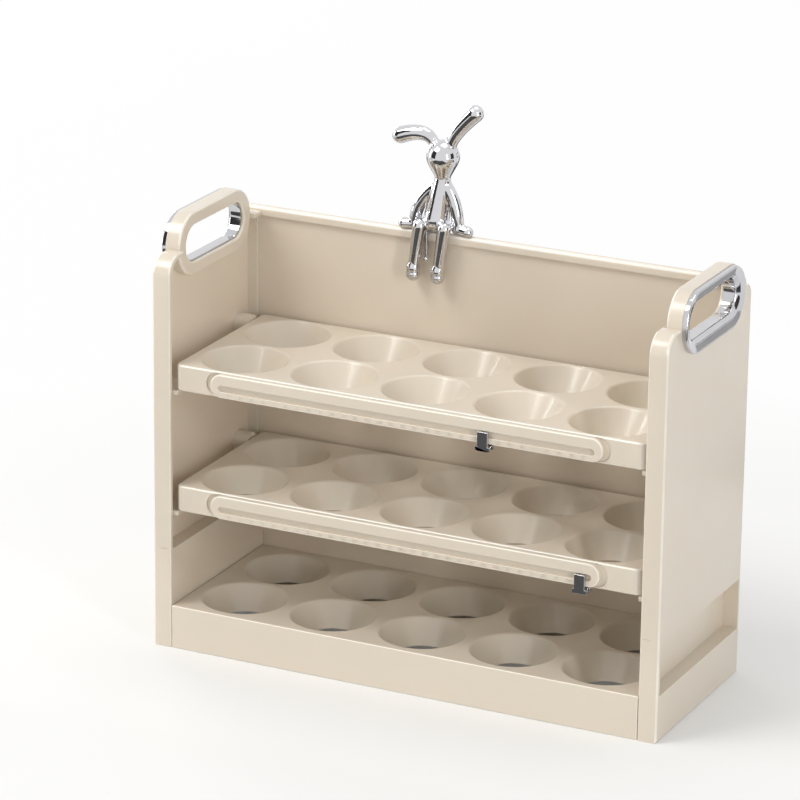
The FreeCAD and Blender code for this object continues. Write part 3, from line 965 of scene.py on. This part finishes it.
@dataclass
class DateRail:
    """A slotted rail on a shelf front, with raised day numbers under its slot."""

    tier: Tier
    length: float = 199.0
    rise: float = 11.4
    seat_depth: float = 0.8
    edge_round: float = 0.75
    edge_flats: int = 5
    track_length: float = 191.0
    track_rise: float = 3.1
    track_drop: float = 1.1
    track_round: float = 0.3
    flat_hold: float = 0.12
    track_depth: float = 1.6
    days: int = 31
    day_pitch: float = 6.0
    day_size: float = 2.7
    day_proud: float = 0.25
    day_drop: float = 3.95
    day_flats: int = 3

    def __post_init__(self) -> None:
        """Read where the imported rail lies."""
        low, high = in_mm(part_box(f"{self.tier.value}_date_rail"))
        self.front = low[1]
        self.back = in_mm(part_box(f"{self.tier.value}_shelf"))[0][1] + self.seat_depth
        self.middle = (low[2] + high[2]) / 2

    def shape(self) -> BMesh:
        """Make the rail: outer wall, rounded face edge and the slot with its floor."""
        shape = bmesh.new()
        bar = SlotOutline(Facing.FRONT, self.middle, self.length, self.rise)
        track = SlotOutline(Facing.FRONT, self.middle - self.track_drop, self.track_length, self.track_rise)
        arc = [(1 - math.sin(turn), 1 - math.cos(turn)) for turn in turns(90, self.edge_flats)]
        outer, inner, front = self.edge_round, self.track_round, self.front
        loops = [bar.loop(shape, self.back)]
        loops += [bar.loop(shape, front + outer * deep, -outer * inset) for deep, inset in arc]
        loops.append(bar.loop(shape, front, -(outer + self.flat_hold)))
        loops.append(track.loop(shape, front, inner + self.flat_hold))
        loops += [track.loop(shape, front + inner * deep, inner * ease) for ease, deep in arc]
        loops.append(track.loop(shape, front + self.track_depth))
        return loft(shape, loops, ring=False)

    def number(self, day: int, place: float) -> BMesh:
        """Make one raised day number on the rail's face.

        Args:
            day: The number.
            place: Place of its middle along X.

        Returns:
            The shape of its figures.
        """
        text = bpy.data.curves.new("day", "FONT")
        text.body = str(day)
        text.size = self.day_size
        text.align_x = "CENTER"
        text.align_y = "CENTER"
        text.extrude = self.day_proud
        text.resolution_u = self.day_flats
        holder = placed("day", text)
        drawn = bpy.data.meshes.new_from_object(holder.evaluated_get(bpy.context.evaluated_depsgraph_get()))
        figure = bmesh.new()
        figure.from_mesh(drawn)
        bpy.data.meshes.remove(drawn)
        bpy.data.objects.remove(holder)
        bpy.data.curves.remove(text)
        upright = Matrix.Rotation(math.pi / 2, 4, "X")
        lift = Matrix.Translation((place, self.front, self.middle - self.day_drop))
        bmesh.ops.transform(figure, matrix=lift @ upright, verts=figure.verts)
        bmesh.ops.remove_doubles(figure, verts=figure.verts, dist=TOUCH)
        return figure

    def numbers(self) -> BMesh:
        """Make all the day numbers, as one shape."""
        first = -(self.days - 1) / 2 * self.day_pitch
        return gathered(self.number(day + 1, first + day * self.day_pitch) for day in range(self.days))

    def dress(self, dressing: Dressing) -> None:
        """Build the rail with its numbers and give them their finish."""
        body = f"{self.tier.value}_shelf"
        node = f"{self.tier.value}_date_rail"
        Piece(f"moulded_{node}", body, (node,)).finish(self.shape(), dressing)
        Piece(f"{self.tier.value}_day_numbers", body).finish(self.numbers(), dressing)


@dataclass
class DateSlider:
    """A plated date marker: a strip over the rail, a neck in its slot and flared bars under the shelf."""

    tier: Tier
    width: float = 5.2
    thick: float = 1.5
    gap: float = 0.15
    neck_width: float = 4.2
    neck_rise: float = 2.8
    neck_reach: float = 1.45
    foot_rise: float = 5.3
    bar_depth: float = 1.5
    hook_thick: float = 2.0

    def __post_init__(self) -> None:
        """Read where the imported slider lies."""
        low, high = in_mm(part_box(f"{self.tier.value}_date_slider"))
        self.left, self.right = low[0], high[0]
        self.front, self.hook_rear = low[1], high[1]
        self.low, self.top = low[2], high[2]
        self.rail_front = in_mm(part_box(f"{self.tier.value}_date_rail"))[0][1]

    def across(self, width: float, depths: Pair, heights: Pair) -> BMesh:
        """Make one bar of the slider, centred along X.

        Args:
            width: Length of the bar along X.
            depths: Front and rear of the bar.
            heights: Bottom and top of the bar.

        Returns:
            A closed shape.
        """
        middle = (self.left + self.right) / 2
        return block((middle - width / 2, depths[0], heights[0]), (middle + width / 2, depths[1], heights[1]))

    def shape(self) -> BMesh:
        """Make the slider's shape."""
        slot = self.top - self.foot_rise / 2
        neck_low, neck_top = slot - self.neck_rise / 2, slot + self.neck_rise / 2
        face_rear = self.front + self.thick
        hook = (self.low, self.low + self.hook_thick)
        bar = self.right - self.left
        return combine(
            self.across(self.width, (self.front, face_rear), (self.low, neck_top)), Join.ADD,
            self.across(self.neck_width, (face_rear - self.gap, self.rail_front + self.neck_reach),
                        (neck_low, neck_top)),
            self.across(self.width, (self.front, self.hook_rear), hook),
            self.across(bar, (self.front, self.front + self.bar_depth), hook),
            self.across(bar, (self.hook_rear - self.bar_depth, self.hook_rear), hook),
        )

    def dress(self, dressing: Dressing) -> None:
        """Build the slider and give it its finish."""
        node = f"{self.tier.value}_date_slider"
        Piece(f"plated_{node}", node, (node,)).finish(self.shape(), dressing)


@dataclass
class HandleRing:
    """A plated ring: a rounded bead, a face like a funnel into the slot and a sleeve through the loop."""

    side: Side
    length: float = 69.5
    rise: float = 29.6
    slot_length: float = 56.0
    slot_rise: float = 16.6
    sleeve: float = 1.5
    bead: float = 0.8
    bead_turn: float = 120.0
    bead_flats: int = 6
    funnel: tuple[Pair, ...] = ((0.2, 0.25), (0.4, 0.37), (0.78, 0.61), (0.95, 0.68),
                                (1.25, 0.75), (2.2, 0.92), (2.6, 0.97), (3.2, 1.0))
    shoulder: float = 193.2
    seat: float = 130.0

    def __post_init__(self) -> None:
        """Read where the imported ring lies."""
        low, high = in_mm(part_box("right_handle_ring"))
        self.sleeve_end, self.face = low[0], high[0]

    def shape(self) -> BMesh:
        """Make the right-hand ring from outlines over its bead, down its funnel and along its sleeve."""
        shape = bmesh.new()
        end_band, side_band = (self.length - self.slot_length) / 2, (self.rise - self.slot_rise) / 2
        bead_share, wall = self.bead / side_band, self.sleeve / side_band
        route = [(self.seat, 0.0)]
        route += [(self.face - self.bead + self.bead * math.sin(turn), bead_share * (1 - math.cos(turn)))
                  for turn in turns(self.bead_turn, self.bead_flats)]
        route += [(self.face - drop, share) for drop, share in self.funnel]
        route += [(self.sleeve_end, 1.0), (self.sleeve_end, 1.0 - wall), (self.seat, 1.0 - wall)]
        loops = []
        for level, share in route:
            outline = SlotOutline(Facing.SIDE, self.shoulder, self.length - 2 * share * end_band,
                                  self.rise - 2 * share * side_band)
            loops.append(outline.loop(shape, level))
        return loft(shape, loops, ring=True)

    def dress(self, dressing: Dressing) -> None:
        """Build the ring and give it its finish."""
        node = f"{self.side.name.lower()}_handle_ring"
        piece = Piece(f"plated_{node}", "frame", (node,), smooth_angle=50.0)
        piece.finish(handed(self.shape(), self.side), dressing)


@dataclass
class RabbitFigure:
    """A plated seated rabbit that clips over the back rim, cast in one flowing skin."""

    place: float = -28.5
    clearance: float = 0.3
    lean: float = 3.0
    rim_depth: float = 4.5
    head: float = 7.7
    head_height: float = 37.0
    chin: float = 4.4
    chin_drop: float = 7.0
    ear_radii: Point = (2.1, 3.1, 3.8)
    ear_root: Pair = (4.0, 4.2)
    drop_ear_bend: Pair = (-10.0, 9.8)
    drop_ear_tip: Pair = (-22.2, 7.6)
    tall_ear_tip: Pair = (16.3, 22.7)
    tall_ear_bow: Pair = (0.42, 0.53)
    body: float = 6.0
    neck: float = 3.6
    neck_height: float = 26.0
    arm: float = 2.5
    elbow: float = 2.8
    hand: float = 2.6
    elbow_place: Pair = (8.9, 13.5)
    elbow_lean: float = 0.8
    arm_spread: float = 11.2
    paw: Point = (5.4, -0.6, -0.4)
    thigh: float = 3.4
    thigh_spread: float = 3.5
    knee: float = 2.9
    knee_rise: float = 3.3
    leg: float = 3.05
    ankle: float = 2.4
    leg_spread: float = 6.4
    leg_lean: float = 0.2
    leg_length: float = 22.6
    leg_offset: float = 5.5
    leg_slant: float = 3.0
    instep: float = 2.8
    foot: float = 3.2
    foot_drop: float = 1.5
    cuff: float = 3.1
    cuff_rise: float = 1.0
    flat: float = 0.6
    limb_flats: tuple[int, int] = (28, 18)
    bend_steps: int = 8
    swell: float = 0.3
    voxel: float = 0.4
    ease: float = 0.5
    smoothing: int = 12
    clip: Point = (8.0, 1.4, 11.0)
    clip_round: float = 0.6
    clip_flats: int = 4
    tail: float = 0.75
    tail_flats: int = 16
    tail_place: Pair = (-3.6, 14.5)
    ball: float = 1.2
    ball_flats: tuple[int, int] = (20, 12)

    def __post_init__(self) -> None:
        """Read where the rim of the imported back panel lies."""
        high = in_mm(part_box("back_panel"))[1]
        self.rim = Vector((self.place, high[1] - self.rim_depth / 2, high[2]))

    def limb(self, shape: BMesh, start: Vector, end: Vector, start_radius: float, end_radius: float) -> None:
        """Add a tapered limb with round ends.

        Args:
            shape: Shape that takes the limb.
            start: First end, from the middle of the rim.
            end: Other end.
            start_radius: Radius at the first end.
            end_radius: Radius at the other end.
        """
        flats, rings = self.limb_flats
        first, last = self.rim + start, self.rim + end
        start_radius, end_radius = start_radius + self.swell, end_radius + self.swell
        for middle, radius in ((first, start_radius), (last, end_radius)):
            bmesh.ops.create_uvsphere(shape, u_segments=flats, v_segments=rings, radius=radius,
                                      matrix=Matrix.Translation(middle))
        along = last - first
        lean = (start_radius - end_radius) / along.length
        ease = math.sqrt(1 - lean * lean)
        low = first + along.normalized() * start_radius * lean
        high = last + along.normalized() * end_radius * lean
        turn = (high - low).to_track_quat("Z", "Y").to_matrix().to_4x4()
        bmesh.ops.create_cone(shape, cap_ends=True, segments=flats, radius1=start_radius * ease,
                              radius2=end_radius * ease, depth=(high - low).length,
                              matrix=Matrix.Translation((low + high) / 2) @ turn)

    def curved_limb(self, shape: BMesh, points: Sequence[Vector], radii: Sequence[float]) -> None:
        """Add a limb that bends smoothly through a middle point.

        Args:
            shape: Shape that takes the limb.
            points: First end, bend and other end, from the middle of the rim.
            radii: Radius at each of them.
        """
        start, bend, end = points
        pull = 2 * bend - (start + end) / 2
        places, thickness = [], []
        for step in range(self.bend_steps + 1):
            share = step / self.bend_steps
            places.append(start * (1 - share) ** 2 + pull * 2 * share * (1 - share) + end * share ** 2)
            half = 2 * share
            near_half = radii[0] * (1 - half) + radii[1] * half
            far_half = radii[1] * (2 - half) + radii[2] * (half - 1)
            thickness.append(near_half if half < 1 else far_half)
        for step in range(self.bend_steps):
            self.limb(shape, places[step], places[step + 1], thickness[step], thickness[step + 1])

    def add_head(self, shape: BMesh) -> None:
        """Add body, head and both ears."""
        head = Vector((self.lean, 0, self.head_height))
        neck = Vector((self.lean, 0, self.neck_height))
        aside, above = self.ear_root
        self.limb(shape, Vector((0, 0, self.body)), neck, self.body, self.neck)
        self.limb(shape, head - Vector((0, 0, self.chin_drop)), head, self.chin, self.head)
        tall_bend = [reach * share for reach, share in zip(self.tall_ear_tip, self.tall_ear_bow)]
        for ear in (((-aside, above), self.drop_ear_bend, self.drop_ear_tip),
                    ((aside, above), tall_bend, self.tall_ear_tip)):
            places = [head + Vector((x, 0, z)) for x, z in ear]
            self.curved_limb(shape, places, self.ear_radii)

    def add_limbs(self, shape: BMesh, sign: int) -> None:
        """Add the leg, foot, arm and hand of one side.

        Args:
            shape: Shape that takes the limbs.
            sign: -1 for the left of the picture and 1 for the right.
        """
        rest = self.clearance - self.flat
        cuff = Vector((0, 0, self.cuff_rise))
        hip = Vector((sign * self.thigh_spread, 0, self.thigh + rest))
        knee = Vector((self.leg_lean + sign * self.leg_spread, -self.leg_offset, self.knee_rise))
        ankle = knee - Vector((self.leg_slant, 0, self.leg_length))
        shoulder = Vector((self.lean + sign * self.neck / 2, 0, self.neck_height - self.arm))
        elbow = Vector((self.elbow_lean + sign * self.elbow_place[0], 0, self.elbow_place[1]))
        hand = Vector((sign * self.arm_spread, 0, self.hand + rest))
        reach, ahead, sink = self.paw
        self.limb(shape, hip, knee, self.thigh, self.knee)
        self.limb(shape, knee, ankle, self.leg, self.ankle)
        self.limb(shape, ankle, ankle - Vector((0, 0, self.foot_drop)), self.instep, self.foot)
        self.limb(shape, ankle + cuff, ankle + 2 * cuff, self.cuff, self.cuff)
        self.curved_limb(shape, (shoulder, elbow, hand), (self.arm, self.elbow, self.hand))
        self.limb(shape, hand, hand + Vector((sign * reach, ahead, sink)), self.hand, self.arm)

    def skin(self) -> BMesh:
        """Flow the limbs into one skin and set its seat flat on the rim."""
        limbs = bmesh.new()
        self.add_head(limbs)
        for sign in (-1, 1):
            self.add_limbs(limbs, sign)
        holder = placed("figure_limbs", meshed("figure_limbs", limbs))
        flow = holder.modifiers.new("flow", "REMESH")
        flow.mode = "VOXEL"
        flow.voxel_size = self.voxel
        ease = holder.modifiers.new("ease", "SMOOTH")
        ease.factor = self.ease
        ease.iterations = self.smoothing
        shape = worked(holder)
        discard(holder)
        seat = self.rim.z + self.clearance
        half = self.rim_depth / 2 + self.clearance
        for vert in shape.verts:
            if abs(vert.co.y - self.rim.y) < half and vert.co.z < seat:
                vert.co.z = seat
        return shape

    def fittings(self) -> BMesh:
        """Make the rear clip, and the thin rod with its ball in front of the rim."""
        width, thick, drop = self.clip
        half = self.rim_depth / 2 + self.clearance
        low = self.rim + Vector((-width / 2, half, -drop))
        clip_top = low.z + drop + self.body
        clip = block(low, low + Vector((width, thick, drop + self.body)))
        round_edges(clip, self.clip_round, self.clip_flats, lambda edge: not lies_at(edge, Axis.Z, clip_top))
        aside, tail_drop = self.tail_place
        ball = self.rim + Vector((aside, -half - self.tail, self.ball - tail_drop))
        stem = rod(ball, Axis.Z, tail_drop - self.ball + self.body, self.tail, self.tail_flats)
        bead = bmesh.new()
        flats, rings = self.ball_flats
        bmesh.ops.create_uvsphere(bead, u_segments=flats, v_segments=rings, radius=self.ball,
                                  matrix=Matrix.Translation(ball))
        return gathered([clip, stem, bead])

    def dress(self, dressing: Dressing) -> None:
        """Build the figure and give it its finish."""
        shape = gathered([self.skin(), self.fittings()])
        piece = Piece("plated_rabbit_figure", "rabbit_ornament", ("rabbit_ornament",), smooth_angle=60.0)
        piece.finish(shape, dressing)


@dataclass(frozen=True)
class Viewpoint:
    """Where the camera stands and how its picture is framed, in millimetres, degrees and picture points."""

    eye: Point = (826.17, -1751.10, 790.06)
    azimuth: float = 25.296
    elevation: float = 20.16
    roll: float = 0.91
    focal: float = 4399.28
    centre: Pair = (443.612, 500.744)
    picture: float = 800.0
    sensor: float = 36.0
    sight: float = 50.0

    def camera(self) -> Object:
        """Make the camera, aimed through the middle of the picture."""
        azimuth, elevation, roll = (math.radians(turn) for turn in (self.azimuth, self.elevation, self.roll))
        ahead = Vector((-math.sin(azimuth) * math.cos(elevation), math.cos(azimuth) * math.cos(elevation),
                        -math.sin(elevation)))
        level = Vector((math.cos(azimuth), math.sin(azimuth), 0))
        above = level.cross(ahead)
        right = level * math.cos(roll) + above * math.sin(roll)
        up = above * math.cos(roll) - level * math.sin(roll)
        half = self.picture / 2
        aside = ahead * self.focal + right * (half - self.centre[0])
        aim = (aside + up * (self.centre[1] - half)).normalized()
        right = (right - aim * right.dot(aim)).normalized()
        up = right.cross(aim)
        lens = bpy.data.cameras.new("photo_camera")
        lens.sensor_width = self.sensor
        lens.lens = self.focal * self.sensor / self.picture
        lens.clip_end = self.sight
        item = placed("photo_camera", lens)
        turn = Matrix((right, up, -aim)).transposed().to_4x4()
        item.matrix_world = Matrix.Translation(Vector(self.eye) * MM) @ turn
        return item


@dataclass(frozen=True)
class SoftLamp:
    """A studio softbox, in metres and watts."""

    name: str
    place: Point
    width: float
    height: float
    power: float
    tone: Colour = (1.0, 1.0, 1.0)
    target: Point = (0.0, 0.0, 0.1)

    def add(self) -> None:
        """Add the lamp to the scene."""
        lamp = bpy.data.lights.new(self.name, "AREA")
        lamp.shape = "RECTANGLE"
        lamp.size = self.width
        lamp.size_y = self.height
        lamp.energy = self.power
        lamp.color = self.tone
        placed(self.name, lamp).matrix_world = aimed(self.place, self.target, "-Z")


@dataclass(frozen=True)
class DarkCard:
    """A dark card that only reflections see, in metres."""

    name: str
    place: Point
    target: Point
    width: float
    height: float
    tone: float = 0.01

    def add(self) -> None:
        """Add the card to the stage."""
        finish, _, shader = node_material(self.name)
        shader.inputs["Base Color"].default_value = (self.tone, self.tone, self.tone, 1.0)
        shape = bmesh.new()
        stretch = Matrix.Diagonal((self.width / 2, self.height / 2, 1.0, 1.0))
        bmesh.ops.create_grid(shape, x_segments=1, y_segments=1, size=1.0,
                              matrix=aimed(self.place, self.target, "Z") @ stretch)
        mesh = meshed(self.name, shape)
        mesh.materials.append(finish)
        item = placed(self.name, mesh)
        item.visible_camera = False
        item.visible_diffuse = False
        item.visible_shadow = False
        item.visible_transmission = False


@dataclass
class Studio:
    """White surroundings, a pale floor, soft lamps and black cards for the plating."""

    viewpoint: Viewpoint = field(default_factory=Viewpoint)
    ambient: float = 0.40
    floor_tone: Colour = (0.88, 0.88, 0.87)
    floor_rough: float = 0.9
    floor_size: float = 12.0
    shadow_reach: Pair = (0.10, 0.45)
    whiteness: Pair = (0.08, 0.95)
    lamps: tuple[SoftLamp, ...] = (
        SoftLamp("key_lamp", (-0.9, -0.9, 1.7), 0.9, 0.9, 20.0, (1.0, 0.985, 0.96)),
        SoftLamp("side_lamp", (1.5, -1.0, 0.45), 0.16, 1.2, 11.0),
        SoftLamp("left_lamp", (-1.6, -0.3, 0.35), 0.13, 1.2, 7.0),
        SoftLamp("top_lamp", (0.1, 0.3, 1.9), 1.0, 1.0, 6.0),
        SoftLamp("rear_lamp", (-1.4, 1.25, 0.35), 0.7, 0.7, 8.0),
    )
    cards: tuple[DarkCard, ...] = (
        DarkCard("low_card", (-0.07, -0.42, 0.004), (-0.07, -0.42, 1.0), 0.72, 0.56),
        DarkCard("left_card", (-1.0, -0.9, 0.45), (0.0, 0.0, 0.2), 0.8, 1.2),
        DarkCard("right_card", (1.5, 0.1, 0.35), (0.0, 0.0, 0.2), 0.7, 1.0),
        DarkCard("rear_grey_card", (0.79, 1.12, 0.06), (0.0, 0.0, 0.06), 0.6, 0.12, 0.5),
        DarkCard("rear_line_card", (0.74, 1.12, 0.31), (0.0, 0.0, 0.31), 0.6, 0.08),
        DarkCard("rear_low_card", (-0.35, 0.62, 0.004), (-0.35, 0.62, 1.0), 0.9, 0.7, 0.05),
        DarkCard("right_low_card", (0.6, -0.02, 0.004), (0.6, -0.02, 1.0), 0.4, 0.5, 0.03),
        DarkCard("ring_card", (0.18, 0.37, 0.004), (0.18, 0.37, 1.0), 0.13, 0.18, 0.42),
    )

    def seen_plainly(self, tree: NodeTree) -> NodeSocket:
        """Give 1 for rays from the camera, and for reflected and refracted ones."""
        rays = tree.nodes.new("ShaderNodeLightPath").outputs
        either = maths(tree, "MAXIMUM", rays["Is Camera Ray"], rays["Is Glossy Ray"])
        return maths(tree, "MAXIMUM", either, rays["Is Transmission Ray"])

    def surroundings(self) -> None:
        """Set the world: white to the eye, dimmer as a light."""
        world = bpy.data.worlds.new("white_studio")
        bpy.context.scene.world = world
        world.use_nodes = True
        tree = world.node_tree
        glow = tree.nodes["Background"]
        glow.inputs["Color"].default_value = (1.0, 1.0, 1.0, 1.0)
        strength = ranged(tree, self.seen_plainly(tree), (self.ambient, 1.0), (0.0, 1.0))
        link(tree, strength, glow.inputs["Strength"])

    def floor(self) -> None:
        """Lay the floor, which looks white and keeps the holder's shadow."""
        shape = bmesh.new()
        bmesh.ops.create_grid(shape, x_segments=1, y_segments=1, size=self.floor_size / 2)
        mesh = meshed("studio_floor", shape)
        finish, tree, shader = node_material("pale_floor")
        shader.inputs["Base Color"].default_value = (*self.floor_tone, 1.0)
        shader.inputs["Roughness"].default_value = self.floor_rough
        glow = tree.nodes.new("ShaderNodeEmission")
        glow.inputs["Color"].default_value = (1.0, 1.0, 1.0, 1.0)
        place = tree.nodes.new("ShaderNodeTexCoord")
        away = tree.nodes.new("ShaderNodeVectorMath")
        away.operation = "LENGTH"
        link(tree, place.outputs["Object"], away.inputs[0])
        whiter = ranged(tree, away.outputs["Value"], self.whiteness, self.shadow_reach)
        blend = tree.nodes.new("ShaderNodeMixShader")
        link(tree, maths(tree, "MULTIPLY", self.seen_plainly(tree), whiter), blend.inputs["Fac"])
        link(tree, shader.outputs["BSDF"], blend.inputs[1])
        link(tree, glow.outputs["Emission"], blend.inputs[2])
        link(tree, blend.outputs["Shader"], tree.nodes["Material Output"].inputs["Surface"])
        mesh.materials.append(finish)
        placed("studio_floor", mesh)

    def build(self) -> None:
        """Set up world, floor, lamps, cards and camera."""
        self.surroundings()
        self.floor()
        for item in (*self.lamps, *self.cards):
            item.add()
        bpy.context.scene.camera = self.viewpoint.camera()
        bpy.context.scene.view_settings.view_transform = "Standard"


def main() -> None:
    """Build, dress and light the egg holder."""
    logging.basicConfig(level=logging.INFO, format="%(name)s: %(message)s")
    # the cream's edge tone is a painted highlight on its rounded edges
    cream = MouldedPlastic("cream_satin_plastic", tone=(0.745, 0.665, 0.555), deep_tone=(0.725, 0.645, 0.535),
                           edge_highlight_tone=(0.90, 0.84, 0.75)).material()
    plated = PlatedMetal("bright_plating").material()
    mirror = PlatedMetal("mirror_plating", tone=(0.68, 0.68, 0.70)).material()
    moulded = Dressing(Slot.CREAM, cream, edge=0.35)
    moulded_fine = Dressing(Slot.CREAM, cream, edge=0.0)
    plated_bar = Dressing(Slot.PLATED, plated, edge=0.45)
    plated_ring = Dressing(Slot.PLATED, plated, edge=0.0)
    plated_cast = Dressing(Slot.PLATED, mirror, edge=0.0)
    for side in Side:
        SidePanel(side).dress(moulded)
        HandleRing(side).dress(plated_ring)
    BaseTray().dress(moulded)
    BackPanel().dress(moulded)
    for tier in Tier:
        EggShelf(tier).dress(moulded)
        DateRail(tier).dress(moulded_fine)
        DateSlider(tier).dress(plated_bar)
    RabbitFigure().dress(plated_cast)
    Studio().build()


if __name__ == "__main__":
    main()
